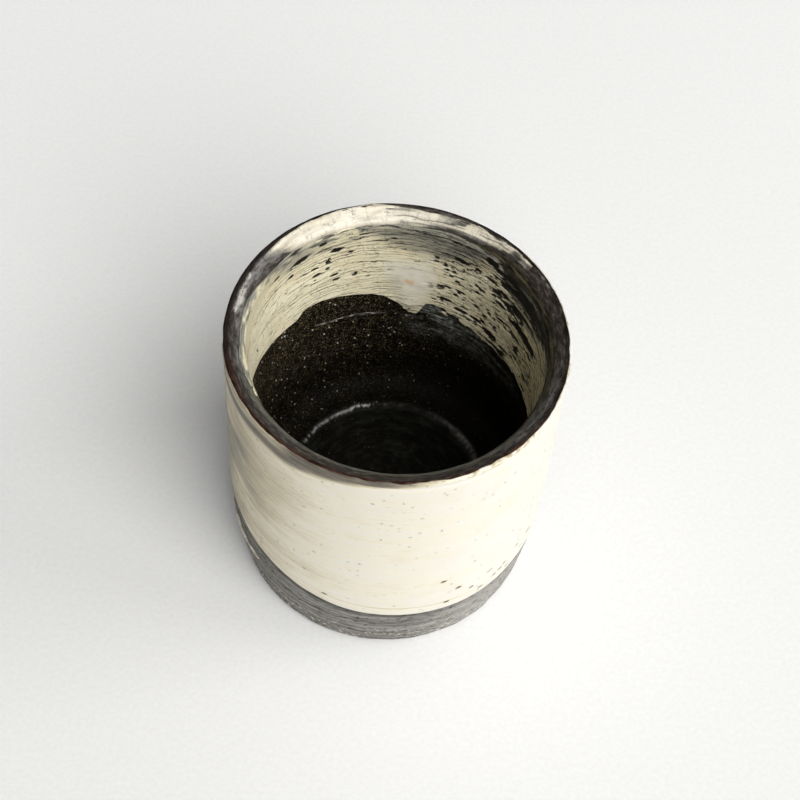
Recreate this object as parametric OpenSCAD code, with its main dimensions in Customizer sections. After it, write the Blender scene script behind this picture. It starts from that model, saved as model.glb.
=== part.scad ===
// Hand-thrown sake cup: a dark stoneware body with brushed white slip under clear glaze.
// Origin in the middle of the foot, +Z up, +Y to the back of the cup. Millimetres and degrees.

/* [Body] */
// Outside diameter of the lip
rim_d = 60; // [56:0.5:76]
// Height from the table to the top of the lip
height = 62.5; // [56:0.5:80]
// Widest diameter of the clay wall
belly_d = 60; // [57:0.5:76]
// Height of the widest place above the table
belly_z = 24; // [18:0.5:36]
// Diameter of the clay where it meets the table
foot_d = 56; // [50:0.5:56.5]
// Thickness of the clay wall at the belly
wall = 4.2; // [2.5:0.1:6]

/* [Lip] */
// Width of the lip, from its outer edge to the mouth
lip_w = 3.7; // [2.5:0.1:6]
// Fall of the lip towards the mouth
lip_slope = 32; // [10:1:45]
// Rounding of the lip's outer edge
lip_round = 0.5; // [0.2:0.1:1]
// Radius of the soft bend from the lip's slope into the inner wall
lip_bend = 2.2; // [0.5:0.1:3]
// How far the lip stands out over the wall
lip_roll = 0.4; // [0.2:0.1:1]
// Depth of the rolled edge below the top
lip_edge = 1.2; // [1:0.1:3]

/* [Inside] */
// Height of the ledge round the floor above the table
ledge_z = 12.5; // [8:0.5:18]
// Radius of the cove between the wall and the ledge
cove_r = 5; // [2:0.5:6.5]
// Diameter of the sunk middle of the floor
well_d = 36.8; // [20:0.2:38]
// Depth of the sunk middle below the ledge
well_h = 0.8; // [0.3:0.1:2]
// Width of the sloping edge round the sunk middle
well_edge = 1.2; // [0.4:0.1:2]

/* [Foot] */
// Bevel trimmed round the bottom edge
foot_bevel = 0.8; // [0.3:0.1:2]
// Diameter of the hollow under the foot, at the table
recess_d = 41; // [24:0.5:46]
// Depth of the hollow under the foot
recess_h = 3; // [1:0.1:5]
// How much narrower the hollow is at its top, each side
recess_draft = 1.2; // [0:0.1:3]

/* [Outer slip] */
// Thickness of the slip on the outside
slip_t = 0.4; // [0.2:0.05:0.8]
// Mean height of the slip's lower edge above the table
slip_low_z = 15.4; // [11:0.2:22]
// How far the lower edge swings up and down
slip_sway = 1.7; // [0:0.1:3]
// Direction in which the lower edge is highest
slip_sway_at = -150; // [-180:5:180]
// Height of the small ripples along the lower edge
slip_ripple = 0.2; // [0:0.05:0.5]

/* [Inner slip] */
// Thickness of the slip inside
inner_t = 0.35; // [0.2:0.05:0.8]
// Mean depth of the slip below the lip
inner_depth = 26.2; // [18:0.2:29]
// How far the slip's edge leans up on one side and down on the other
inner_lean = 6; // [0:0.2:7]
// Direction in which the slip ends highest
inner_lean_at = 185; // [0:5:360]
// Second, shorter swing of the slip's edge
inner_sway = 1.8; // [0:0.1:3]
// Direction of that swing's upper side
inner_sway_at = 105; // [0:5:360]
// Length of the tongue that ran down from the edge
tongue_h = 3.2; // [0:0.1:6]
// Half width of the tongue
tongue_w = 5; // [3:0.5:12]
// Height of the bite out of the edge
notch_h = 1.4; // [0:0.1:4]
// Half width of the bite
notch_w = 7; // [3:0.5:15]
// Direction of the bite
notch_at = 128; // [110:1:160]

/* [Slip on the lip] */
// Thickness of the slip left on the lip
lip_slip_t = 0.2; // [0.1:0.05:0.2]
// Bare margin along the lip's outer edge
lip_margin = 1.1; // [1:0.1:1.6]
// Middle of the slip left on the lip
lip_slip_at = 95; // [0:5:360]
// Angle from that middle to either end
lip_slip_span = 55; // [40:1:80]
// How far the round that bounds the crescent passes the mouth in its middle
lip_slip_over = 1; // [0.5:0.1:2]

/* [Glaze run] */
// Direction of the run on the inner wall, and of the tongue under it
run_at = 86; // [60:1:120]
// Height of the run where it is thickest
run_t = 0.6; // [0.3:0.05:1]
// Radius of the run's rounded back
run_r = 28; // [10:1:40]
// Depth below the lip's bend at which the run begins to thin out upwards
run_top = 9; // [7:0.5:13]
// Depth below the lip's bend at which the run begins to thin out downwards
run_end = 19; // [14:0.5:20]

/* [Stray strokes] */
// Thickness of the slip in a stray brush stroke
stroke_t = 0.2; // [0.1:0.05:0.4]
// Width of the stroke on the foot
foot_stroke_w = 0.7; // [0.3:0.1:1.5]
// Length of the stroke on the foot
foot_stroke_l = 10; // [4:0.5:16]
// Direction of the stroke on the foot
foot_stroke_at = -155; // [-180:1:180]
// Fall of the stroke on the foot towards the front
foot_stroke_fall = 2; // [0:1:10]
// Distance of the stroke's middle below the slip's mean edge
foot_stroke_drop = 4.8; // [3:0.1:7]
// Width of the strokes inside
inner_stroke_w = 0.5; // [0.3:0.1:1]
// Length of the strokes inside
inner_stroke_l = 12; // [4:0.5:16]
// Direction of the strokes inside
inner_stroke_at = 106; // [95:1:140]
// Distance of the upper stroke below the slip's mean edge
inner_stroke_drop = 2.4; // [2:0.2:6]
// Distance between the strokes inside
inner_stroke_gap = 1.9; // [1:0.1:4]
// Number of strokes inside
inner_strokes = 2; // [1:1:3]
// Fall of the strokes inside, towards the left
inner_stroke_fall = 2; // [0:1:10]

/* [Hidden] */
$fn = 96;
// Sides of circles where a thin piece depends on them
fine_fn = 360;

// How far cutting shapes pass the surfaces that they cut
past = 1;
// Steps round a ragged edge
edge_steps = 90;
// Ripples round the outer slip's lower edge
ripples = 9;
// Steps round the lip's rounded edge
round_steps = 6;
// Steps round the bend inside the lip
bend_steps = 6;
// Steps up the curved part of the wall
wall_steps = 8;

rim_r = rim_d / 2;
belly_r = belly_d / 2;
foot_r = foot_d / 2;
well_r = well_d / 2;
recess_r = recess_d / 2;

// Radius of the shapes that cut ragged edges, well outside the cup
reach = rim_r + belly_r;

// The wall runs up to the roll of the lip
wall_top_r = rim_r - lip_roll;
roll_z = height - lip_edge;
wall_top_z = roll_z - lip_roll;

// The lip falls from its rounded edge towards the mouth, and bends down into the inner wall
lip_round_r = rim_r - lip_round;
lip_round_z = height - lip_round;
mouth_r = rim_r - lip_w;
bend_angle = 90 - lip_slope;
bend_z = lip_z(mouth_r) - lip_bend * tan(bend_angle / 2);

// Inside, the wall runs from the bend down to the cove
inner_r = belly_r - wall;
cove_z = ledge_z + cove_r;
inner_tilt = atan((mouth_r - inner_r) / (bend_z - cove_z));

// Slip edges as mean heights
inner_low_z = height - inner_depth;

// Radius of the wall between the foot and the belly, where it is upright
function low_wall(z) = belly_r - (belly_r - foot_r) * pow(1 - z / belly_z, 2);

// The wall's outline from the table up to the roll of the lip, grown sideways
function wall_line(grow = 0) = concat(
    [for (i = [0:wall_steps]) [low_wall(belly_z * i / wall_steps) + grow, belly_z * i / wall_steps]],
    [[wall_top_r + grow, wall_top_z]]
);

// The same points in the other order
function backwards(points) = [for (i = [len(points) - 1:-1:0]) points[i]];

// Height of the lip's sloping face at a radius
function lip_z(r) = lip_round_z + (lip_round + sin(lip_slope) * (r - lip_round_r)) / cos(lip_slope);

// The bend from the inner wall up to the lip's slope, lifted off the clay
function bend_line(lift = 0) = [
    for (i = [0:bend_steps])
        let (a = bend_angle * i / bend_steps)
            [mouth_r + lip_bend - (lip_bend + lift) * cos(a), bend_z + (lip_bend + lift) * sin(a)]
];

// Radius of the inner wall at a height
function inner_wall(z) = inner_r + (mouth_r - inner_r) * (z - cove_z) / (bend_z - cove_z);

// Difference of two directions, from -180 to 180
function turn(a, b) = ((a - b) % 360 + 540) % 360 - 180;

// Smooth hump, 1 in the middle
function hump(x, half_width) = exp(-pow(x / half_width, 2));

// Height of the outer slip's lower edge in a direction
function outer_edge(a) =
    slip_low_z
    + slip_sway * cos(2 * (a - slip_sway_at))
    + slip_ripple * cos(ripples * a);

// Height of the inner slip's lower edge in a direction
function inner_edge(a) =
    inner_low_z
    + inner_lean * cos(a - inner_lean_at)
    + inner_sway * cos(2 * (a - inner_sway_at))
    - tongue_h * hump(turn(a, run_at), tongue_w)
    + notch_h * hump(turn(a, notch_at), notch_w);

// Half section of the thrown form, up the wall, over the rolled lip and down its bend to the mouth
module thrown_section() {
    lip_edge_line = [
        for (i = [0:round_steps])
            let (a = (90 + lip_slope) * i / round_steps)
                [lip_round_r + lip_round * cos(a), lip_round_z + lip_round * sin(a)]
    ];
    polygon(concat(
        [[0, 0]],
        wall_line(),
        [[rim_r, roll_z]],
        lip_edge_line,
        backwards(bend_line()),
        [[0, bend_z]]
    ));
}

// Half section of the hollow that holds the drink
module hollow_section() {
    polygon([
        [0, cove_z],
        [inner_r, cove_z],
        [mouth_r, bend_z],
        [mouth_r, height + past],
        [0, height + past]
    ]);
    translate([inner_r - cove_r, cove_z])
        circle(r = cove_r);
    translate([0, ledge_z])
        square([inner_r - cove_r, cove_r]);
    polygon([
        [0, ledge_z - well_h],
        [well_r - well_edge / 2, ledge_z - well_h],
        [well_r + well_edge / 2, ledge_z],
        [well_r + well_edge / 2, ledge_z + past],
        [0, ledge_z + past]
    ]);
}

// Half section of the hollow trimmed under the foot
module recess_section() {
    polygon([
        [0, -past],
        [recess_r, -past],
        [recess_r, 0],
        [recess_r - recess_draft, recess_h],
        [0, recess_h]
    ]);
}

// Half section of the bevel round the bottom edge
module bevel_section() {
    polygon([
        [foot_r - foot_bevel, -past],
        [foot_r - foot_bevel, 0],
        [foot_r + past, foot_bevel + past],
        [foot_r + past, -past]
    ]);
}

// Everything below a ragged edge whose heights are given for equal steps round the axis
module below_edge(heights, mean_z) {
    n = len(heights);
    lower = [for (i = [0:n - 1]) [reach * cos(360 * i / n), reach * sin(360 * i / n), -past]];
    upper = [for (i = [0:n - 1]) [lower[i].x, lower[i].y, heights[i]]];
    points = concat(lower, upper, [[0, 0, -past], [0, 0, mean_z]]);
    bottom_fan = [for (i = [0:n - 1]) [2 * n, i, (i + 1) % n]];
    top_fan = [for (i = [0:n - 1]) [2 * n + 1, n + (i + 1) % n, n + i]];
    sides = [for (i = [0:n - 1]) [i, n + i, n + (i + 1) % n, (i + 1) % n]];
    polyhedron(points, concat(bottom_fan, top_fan, sides));
}

// Ragged edge heights, stretched so that they are right at the coat's own radius
function edge_heights(edge, mean_z, coat_r) = [
    for (i = [0:edge_steps - 1])
        mean_z + (edge(360 * i / edge_steps) - mean_z) * reach / coat_r
];

// The space inside the cup, up to the face of the inner slip
module inside_slip() {
    rotate_extrude()
        polygon([
            [0, cove_z],
            [inner_r - inner_t, cove_z],
            [mouth_r - inner_t, bend_z],
            [0, bend_z]
        ]);
}

// A coat on the outer wall up to the underside of the lip's roll, as thick as asked
module outer_coat(thick) {
    rotate_extrude()
        polygon(concat(
            wall_line(thick),
            [[wall_top_r + thick, wall_top_z + thick]],
            backwards(wall_line())
        ));
}

// A coat on the inner wall from the lip's bend down to the cove, as thick as asked
module inner_coat(thick) {
    rotate_extrude()
        polygon([
            [inner_r, cove_z],
            [mouth_r, bend_z],
            [mouth_r - thick, bend_z],
            [inner_r - thick, cove_z]
        ]);
}

// A straight bar that cuts a brush stroke out of a coat
module stroke_bar(at, r, z, length, width, fall) {
    depth = wall;
    rotate([0, 0, at])
        translate([r, 0, z])
            rotate([-fall, 0, 0])
                cube([depth, length, width], center = true);
}

module clay_body() {
    color("#3a3532")
        rotate_extrude()
            difference() {
                thrown_section();
                hollow_section();
                recess_section();
                bevel_section();
            }
}

module outer_slip() {
    color("#e6dfca")
        difference() {
            outer_coat(slip_t);
            below_edge(edge_heights(function(a) outer_edge(a), slip_low_z, belly_r), slip_low_z);
        }
}

module inner_slip() {
    color("#d9d0b2")
        difference() {
            inner_coat(inner_t);
            below_edge(edge_heights(function(a) inner_edge(a), inner_low_z, inner_r), inner_low_z);
        }
}

// A crescent on the lip's bend and slope: its inner side is a circle set off towards the other side
module lip_slip() {
    out_r = rim_r - lip_margin;
    in_r = mouth_r - lip_slip_over;
    off = (out_r * out_r - in_r * in_r) / (2 * (in_r - out_r * cos(lip_slip_span)));
    color("#efe8d8")
        rotate([0, 0, lip_slip_at])
            difference() {
                rotate_extrude()
                    polygon(concat(
                        bend_line(),
                        [[out_r, lip_z(out_r)], [out_r, lip_z(out_r) + lip_slip_t / cos(lip_slope)]],
                        backwards(bend_line(lip_slip_t))
                    ));
                translate([-off, 0, bend_z - past])
                    cylinder(r = in_r + off, h = height);
            }
}

// A long drop: a rod with round ends that lies behind the slip's face and stands out of it
module glaze_run() {
    axis_r = mouth_r - inner_t + run_r - run_t;
    $fn = fine_fn;
    color("#c9cbc4")
        intersection() {
            inside_slip();
            rotate([0, 0, run_at])
                translate([axis_r, 0, bend_z])
                    rotate([0, inner_tilt, 0]) {
                        translate([0, 0, -run_end])
                            cylinder(r = run_r, h = run_end - run_top);
                        for (depth = [run_top, run_end])
                            translate([0, 0, -depth])
                                sphere(r = run_r);
                    }
        }
}

module foot_stroke() {
    color("#cfc9b6")
        intersection() {
            outer_coat(stroke_t);
            stroke_bar(foot_stroke_at, belly_r, slip_low_z - foot_stroke_drop,
                       foot_stroke_l, foot_stroke_w, foot_stroke_fall);
        }
}

module inner_stroke() {
    color("#b8b4a6")
        for (i = [0:inner_strokes - 1]) {
            z = inner_low_z - inner_stroke_drop - i * inner_stroke_gap;
            intersection() {
                inner_coat(stroke_t);
                stroke_bar(inner_stroke_at, inner_wall(z), z,
                           inner_stroke_l, inner_stroke_w, inner_stroke_fall);
            }
        }
}

clay_body();
outer_slip();
inner_slip();
lip_slip();
glaze_run();
foot_stroke();
inner_stroke();
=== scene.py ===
"""A hand-thrown sake cup in dark clay, brushed slip and clear glaze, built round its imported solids."""
import math

import bpy
import numpy as np
from mathutils import Matrix, Vector


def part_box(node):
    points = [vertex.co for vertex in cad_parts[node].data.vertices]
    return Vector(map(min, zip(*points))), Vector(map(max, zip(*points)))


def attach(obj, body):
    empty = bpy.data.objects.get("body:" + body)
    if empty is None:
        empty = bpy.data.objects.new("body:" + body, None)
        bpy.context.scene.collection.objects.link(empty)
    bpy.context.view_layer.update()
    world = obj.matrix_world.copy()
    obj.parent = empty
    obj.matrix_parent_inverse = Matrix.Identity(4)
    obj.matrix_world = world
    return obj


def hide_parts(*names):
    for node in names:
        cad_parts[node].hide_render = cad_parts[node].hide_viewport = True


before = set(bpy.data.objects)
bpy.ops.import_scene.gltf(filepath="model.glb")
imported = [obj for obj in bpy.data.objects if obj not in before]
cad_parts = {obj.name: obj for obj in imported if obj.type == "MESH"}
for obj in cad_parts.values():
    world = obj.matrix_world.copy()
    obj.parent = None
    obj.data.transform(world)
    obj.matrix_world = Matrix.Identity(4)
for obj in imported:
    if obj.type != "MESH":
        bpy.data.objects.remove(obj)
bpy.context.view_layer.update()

# Sizes are in millimetres and directions in degrees: 0 is +X, 90 is the back of the cup
MM = 0.001
clay_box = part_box("clay_body")
outer_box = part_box("outer_slip")
inner_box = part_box("inner_slip")

# The clay's form, as in the solids
RIM_R = clay_box[1].x / MM
HEIGHT = clay_box[1].z / MM
MOUTH_R = inner_box[1].x / MM
BEND_START = inner_box[1].z / MM
OUTER_T = 0.4
INNER_T = 0.35
BELLY_R = outer_box[1].x / MM - OUTER_T
BELLY_Z = 24.0
WALL = 4.2
FOOT_R = 28.0
FOOT_BEVEL = 0.8
LIP_EDGE = 1.2
LIP_ROLL = 0.4
LIP_ROUND = 0.5
LIP_SLOPE = math.radians(32)
LIP_BEND_R = 2.2
LEDGE_Z = 12.5
COVE_R = 5.0
WELL_R = 18.4
WELL_H = 0.8
WELL_SOFT = 0.7
RECESS_R = 20.5
RECESS_H = 3.0
RECESS_DRAFT = 1.2

# What follows from these sizes
ROUND_Z = HEIGHT - LIP_ROUND
ROLL_Z = HEIGHT - LIP_EDGE
WALL_TOP_R = RIM_R - LIP_ROLL
WALL_TOP_Z = ROLL_Z - LIP_ROLL
INNER_LOW_R = BELLY_R - WALL
COVE_Z = LEDGE_Z + COVE_R
FLOOR_Z = LEDGE_Z - WELL_H

# Distances along the inner face, up the wall and over the lip's soft bend, slope and round crest
LIP_BEND = math.pi / 2 - LIP_SLOPE
CREST_TURN = math.pi - LIP_BEND
BEND_END = BEND_START + LIP_BEND_R * LIP_BEND
BEND_END_R = MOUTH_R + LIP_BEND_R * (1.0 - math.cos(LIP_BEND))
LIP_TOP_R = RIM_R - LIP_ROUND * (1.0 + math.cos(LIP_BEND))
LIP_TOP = BEND_END + (LIP_TOP_R - BEND_END_R) / math.cos(LIP_SLOPE)
CREST_END = LIP_TOP + LIP_ROUND * CREST_TURN
CREST = LIP_TOP - BEND_START

# How far the hand-made form leaves a true circle, most at the lip
OVAL = 0.3
OVAL_AT = math.radians(-24)
WAVER = 0.1

# Slip and glaze: how deep their backs sink into the clay, how thick they are and where they lie
SUNK = 0.15
OUTER_ROLL_T = 0.05
LIP_SLIP_LEFT = 149.0
LIP_SLIP_RIGHT = 37.0
LIP_SLIP_T = 0.16
RUN_AT = 86.0
RUN_TOP = 56.0
RUN_END = 35.6
RUN_T = 0.45
STAIN_AT = 86.5
STAIN_Z = 44.7
CRACKS_APART = 2.2

# Rows and columns of points in the pieces, and where the rows of the clay's section change their spacing
CLAY_COLUMNS = 440
OUTER_ROWS = 156
OUTER_COLUMNS = 600
INNER_ROWS = 146
INNER_COLUMNS = 640
LIP_SLIP_ROWS = 34
LIP_SLIP_COLUMNS = 560
RUN_ROWS = 110
RUN_COLUMNS = 60
STROKE_ROWS = 7
STROKE_COLUMNS = 90
POLE_R = 0.6
COVERED_Z = 46.0
SIDE_TOP = 60.0
FOOT_TOP = 24.0

# Throwing rings inside, and a point under the crest from which the lip is measured
THROW_RING = 5.2
LIP_PIVOT_R = RIM_R - 0.1
LIP_PIVOT_Z = BEND_START - 3.0

# Noise on the walls is laid round a circle of this radius
NOISE_R = 28.0

# Curves round the cup are kept at directions this far apart
CURVE_STEP = 0.25


# Number helpers

def mix(a, b, t):
    return a + (b - a) * t


def step(low, high, x):
    """0 below low, 1 above high, smooth between. Falls instead where low is above high."""
    t = np.clip((x - low) / (high - low), 0.0, 1.0)
    return t * t * (3.0 - 2.0 * t)


def bump(x, middle, half_width):
    """Smooth hump, 1 in the middle."""
    return np.exp(-(((x - middle) / half_width) ** 2))


def turn(deg, middle):
    """Difference of two directions, from -180 to 180."""
    return (deg - middle + 180.0) % 360.0 - 180.0


def near(deg, middle, far, close):
    """1 within `close` degrees of a direction and 0 beyond `far`."""
    return step(far, close, np.abs(turn(deg, middle)))


def lattice(x, y, z, seed):
    """A fixed random value from 0 to 1 for each whole-number point."""
    h = (x * 73856093) ^ (y * 19349663) ^ (z * 83492791) ^ (seed * 668265263)
    h = h & 0xFFFFFFFF
    h = ((h ^ (h >> 15)) * 73244475) & 0xFFFFFFFF
    h = ((h ^ (h >> 13)) * 1274126177) & 0xFFFFFFFF
    return ((h ^ (h >> 16)) & 0xFFFF) / 65535.0


def noise(points, seed, octaves):
    """Smooth noise from 0 to 1 at points with three coordinates each, finer with every octave."""
    total = np.zeros(points.shape[:-1])
    weight = 1.0
    for octave in range(octaves):
        p = points * 2.0**octave
        cell = np.floor(p).astype(np.int64)
        f = p - cell
        f = f * f * (3.0 - 2.0 * f)
        for corner in range(8):
            bits = np.array([corner & 1, corner >> 1 & 1, corner >> 2 & 1])
            part = np.prod(np.where(bits == 1, f, 1.0 - f), axis=-1)
            at = cell + bits
            total += weight * part * lattice(at[..., 0], at[..., 1], at[..., 2], seed + 17 * octave)
        weight *= 0.5
    return total / (2.0 - 2.0 * weight)


def wall_noise(deg, z, around, up, seed, octaves):
    """Noise on the wall, with that many cells per mm round the cup and up it."""
    a = np.radians(deg)
    points = [NOISE_R * np.cos(a) * around, NOISE_R * np.sin(a) * around, z * up]
    return noise(np.stack(points, -1), seed, octaves)


def edge_noise(deg, around, seed, octaves):
    """Noise that changes only with direction."""
    return wall_noise(deg, deg * 0, around, 0.0, seed, octaves)


def ring_curve(points, smooth):
    """A closed curve over direction through (degrees, value) points, smoothed by that many degrees."""
    grid = np.arange(0.0, 360.0, CURVE_STEP)
    at = np.array([p[0] % 360 for p in points], float)
    values = np.array([p[1] for p in points], float)
    order = np.argsort(at)
    line = np.interp(grid, at[order], values[order], period=360.0)
    waves = np.fft.rfftfreq(len(grid), d=CURVE_STEP)
    kept = np.exp(-2.0 * (math.pi * waves * smooth) ** 2)
    line = np.fft.irfft(np.fft.rfft(line) * kept, len(grid))
    return lambda deg: np.interp(deg, grid, line, period=360.0)


# The cup's form

def wobble(deg, z):
    """How far the wall leaves a true circle."""
    oval = OVAL * (z / HEIGHT) ** 2 * np.cos(2.0 * (np.radians(deg) - OVAL_AT))
    return oval - WAVER * wall_noise(deg, z, 0.05, 0.05, 3, 1)


def wall_r(z):
    """Radius of the clay's outer wall."""
    low = BELLY_R - (BELLY_R - FOOT_R) * np.clip(1.0 - z / BELLY_Z, 0.0, 1.0) ** 2
    high = BELLY_R + (WALL_TOP_R - BELLY_R) * (z - BELLY_Z) / (WALL_TOP_Z - BELLY_Z)
    return np.where(z < BELLY_Z, low, high)


def inner_r(z):
    """Radius of the clay's inner wall above the cove."""
    return INNER_LOW_R + (MOUTH_R - INNER_LOW_R) * (z - COVE_Z) / (BEND_START - COVE_Z)


def inside(h):
    """Radius, height and normal of the inner face, by a distance up the wall and over the lip."""
    wall = np.minimum(h, BEND_START)
    bend = np.clip((h - BEND_START) / LIP_BEND_R, 0.0, LIP_BEND)
    slope = np.clip(h - BEND_END, 0.0, LIP_TOP - BEND_END)
    lean = bend + np.clip((h - LIP_TOP) / LIP_ROUND, 0.0, CREST_TURN)
    r = inner_r(wall) + LIP_BEND_R * (1.0 - np.cos(bend)) + slope * math.cos(LIP_SLOPE)
    r += LIP_ROUND * (np.cos(bend) - np.cos(lean))
    z = wall + LIP_BEND_R * np.sin(bend) + slope * math.sin(LIP_SLOPE)
    z += LIP_ROUND * (np.sin(lean) - np.sin(bend))
    return r, z, -np.cos(lean), np.sin(lean)


def outside(g):
    """Radius, height and normal of the outer face, by a distance up the wall and roll to the crest."""
    wall = np.minimum(g, ROUND_Z)
    lean = np.clip((g - ROUND_Z) / LIP_ROUND, 0.0, math.pi / 2)
    r = mix(wall_r(wall), RIM_R, step(WALL_TOP_Z - LIP_ROLL, ROLL_Z, wall))
    r = r - LIP_ROUND * (1.0 - np.cos(lean))
    return r, wall + LIP_ROUND * np.sin(lean), np.cos(lean), np.sin(lean)


def polar(r, deg, z):
    a = np.radians(deg)
    return np.stack([r * np.cos(a), r * np.sin(a), z], -1)


def on_face(face, deg, along, height):
    """Points that far off the clay's inside or outside, by direction and distance along that face."""
    r, z, out_r, out_z = face(along)
    r = r + wobble(deg, z) + height * out_r
    return polar(r, deg, np.minimum(z + height * out_z, HEIGHT))


# Slip edges, as heights over direction
outer_edge = ring_curve(
    [(-172, 21.2), (-160, 21.8), (-150, 21.4), (-141, 19.6), (-121, 17.3), (-106, 15.6), (-88, 14.8),
     (-62, 14.3), (-52, 14.2), (-41, 14.6), (-30, 15.8), (-15, 15.4), (30, 16.0), (75, 15.0), (120, 15.5),
     (160, 18.5)], 4.0)
outer_top = ring_curve(
    [(-172, 61.2), (-162, 61.9), (-152, 62.35), (-100, 62.45), (-60, 62.55), (0, 62.5), (40, 62.3),
     (60, 61.3), (120, 61.0), (180, 61.0)], 3.0)
inner_edge = ring_curve(
    [(177, 41.7), (162, 40.8), (147, 40.1), (137, 40.0), (134, 41.7), (126, 41.9), (116, 41.1), (103, 40.1),
     (97, 39.5), (94, 37.9), (90, 36.8), (87.5, 35.0), (83, 34.5), (80.5, 36.2), (79.5, 38.4), (76, 38.9),
     (73.5, 38.2), (71, 36.9), (61, 36.6), (52, 35.2), (44, 35.6), (18, 35.1), (10, 34.2), (-40, 36.5),
     (-90, 39.0), (-140, 40.5)], 0.9)

# How far the inner slip reaches over the lip's bend; where the lip's own slip begins, brightens and ends
inner_top = ring_curve(
    [(60, 0.9), (78, 1.3), (95, 1.7), (120, 1.5), (136, 1.3), (143, 1.0), (150, 0.9), (157, 1.2),
     (166, 1.9), (175, 1.8), (-178, 1.7), (-171, 2.0), (-167, 2.3), (-162, 2.0), (-157, 1.4),
     (-153, 0.6), (-149, -0.1), (-140, -0.8), (-90, -1.0), (-40, -0.8), (-10, 0.0), (10, 0.6), (40, 0.9)], 1.5)
lip_slip_in = ring_curve(
    [(152, 3.2), (146, 2.6), (141, 1.8), (138, 0.9), (134, 0.4), (84, 0.4), (77, 0.5), (69, 0.8),
     (62, 1.1), (54, 1.8), (50, 2.2), (44, 2.6), (38, 3.0), (20, 3.6), (-90, 3.6)], 1.2)
lip_bright_in = ring_curve(
    [(152, -1.0), (100, -1.0), (96, -0.3), (92, 0.3), (84, 0.8), (77, 1.4), (69, 2.0), (62, 2.2), (50, 2.4),
     (44, 2.6), (38, 2.8), (-90, 2.8)], 1.2)
lip_slip_out = ring_curve(
    [(152, -0.8), (143, -0.4), (130, -0.12), (118, 0.05), (108, 0.25), (102, 0.4), (97, 0.0), (92, -0.4),
     (80, -0.65), (70, -0.55), (60, -0.25), (50, -0.1), (40, -0.1), (30, -0.3), (-90, -0.3)], 1.5)

# Heights above which the inner slip turns dark or grey, and how torn it is
dark_above = ring_curve(
    [(125, 68), (104, 68), (80, 67), (70, 65), (63, 62.5), (58, 60), (50, 57), (43, 54), (36, 52),
     (30, 51.5), (24, 52), (17, 54), (8, 56), (0, 58), (-15, 60), (-50, 61.5), (-90, 62),
     (-130, 64), (180, 68)], 2.5)
grey_above = ring_curve(
    [(125, 66), (110, 61), (102, 58), (95, 55.5), (88, 53.5), (80, 52.5), (70, 52.5), (62, 54), (55, 57),
     (45, 62), (0, 66), (180, 66)], 3.0)
dryness = ring_curve(
    [(120, 0.0), (95, 0.05), (80, 0.3), (62, 0.62), (40, 0.9), (10, 0.8), (-40, 0.7), (-80, 0.2),
     (-120, 0.0), (180, 0.0)], 5.0)

# Lower edge of the dark band under the lip, at the left and front: thin slip in the groove under the roll,
# darkened further as painted shade
band_low = ring_curve(
    [(-178, 56.2), (-160, 56.7), (-145, 57.4), (-137, 57.9), (-131, 57.7), (-124, 57.6), (-118, 58.2),
     (-112, 59.0), (-108, 59.3), (-98, 60.3), (-85, 61.3), (-70, 62.2), (0, 62.5), (120, 58)], 3.0)

# How bright the painted highlight on the ring round the floor is, and how much sand shows on the inner wall
ring_highlight = ring_curve(
    [(170, 0.1), (155, 0.4), (143, 0.6), (128, 0.85), (118, 1.0), (109, 0.85), (103, 0.3), (98, 0.06),
     (70, 0.03), (58, 0.12), (48, 0.26), (40, 0.38), (28, 0.4), (15, 0.12), (0, 0.0), (-90, 0.0)], 3.0)
# Sand is painted stronger on the lit left and back and fainter towards the shaded right: real sand with
# painted light and shade
sand_and_light = ring_curve(
    [(150, 1.0), (110, 0.85), (85, 0.5), (60, 0.2), (20, 0.1), (-40, 0.2), (-120, 0.8), (180, 1.0)], 8.0)


# Torn spots, pits and dabs

def spots(deg, z, radius, places, seed, edge=(1.15, 0.8)):
    """1 inside small torn spots, each with its direction, height, half length and half height."""
    shape = np.zeros(np.shape(deg))
    rough = wall_noise(deg, z, 1.6, 2.4, seed, 2) - 0.5
    for at, height, length, tall in places:
        along = np.radians(turn(deg, at)) * radius / length
        across = (z - height) / tall
        shape = np.maximum(shape, step(*edge, np.sqrt(along**2 + across**2) + 0.9 * rough))
    return shape


def scattered(seed, count, at, height, length, tall):
    """Random places for spots, between the two ends of each range."""
    draw = np.random.default_rng(seed)
    return [tuple(draw.uniform(*span) for span in (at, height, length, tall)) for _ in range(count)]


def sized(size, places):
    """Spots of one half length and half height, at directions and heights."""
    return [(*place, *size) for place in places]


INNER_SPOTS = sized((0.5, 0.4), [
    (140, 54.5), (122, 53), (122, 51), (110, 47), (95, 47.5), (169, 50.5), (166, 46), (72, 51.5), (76, 52),
    (76, 53), (71, 50.5), (69, 49), (68, 50.5), (66, 44), (66, 48), (57, 50), (56, 48), (63, 45.5),
    (49, 44.5), (45, 46), (39, 44.5), (45, 42), (48, 50.5)])
INNER_SPOTS += sized((0.8, 0.35), [
    (124, 58.5), (119, 48.5), (118, 47), (127, 50.5), (128, 52.5), (112, 54), (148, 57.5), (79, 45), (78, 44),
    (73, 45), (70, 45.5), (54, 49.5), (65, 45.5), (56, 44), (61, 41.5), (42, 45.5), (40, 51.5),
    (57, 54.5), (35, 57), (48, 56), (30, 40), (29, 43)])
INNER_SPOTS += sized((1.5, 0.55), [
    (118, 55.5), (135, 57), (71, 41.5), (65, 54.5), (52, 58.5), (50, 54), (63, 40), (55, 40), (47, 38.5),
    (36, 48), (17, 49.5), (21, 55), (44, 49.5), (41, 51), (38, 50.5), (43, 53), (35, 52), (47, 52), (33, 45),
    (16, 55.5), (10, 57), (5, 58), (-1, 54.5), (51, 59), (46, 58), (39, 56), (43, 55.5), (38, 38), (72, 38),
    (66, 37)])
INNER_SPOTS += sized((2.2, 1.2), [(31, 48.5), (26, 48.5), (21, 48.5)])
INNER_SPOTS += scattered(5, 70, (24, 80), (33, 56), (0.2, 0.55), (0.12, 0.25))
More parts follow.
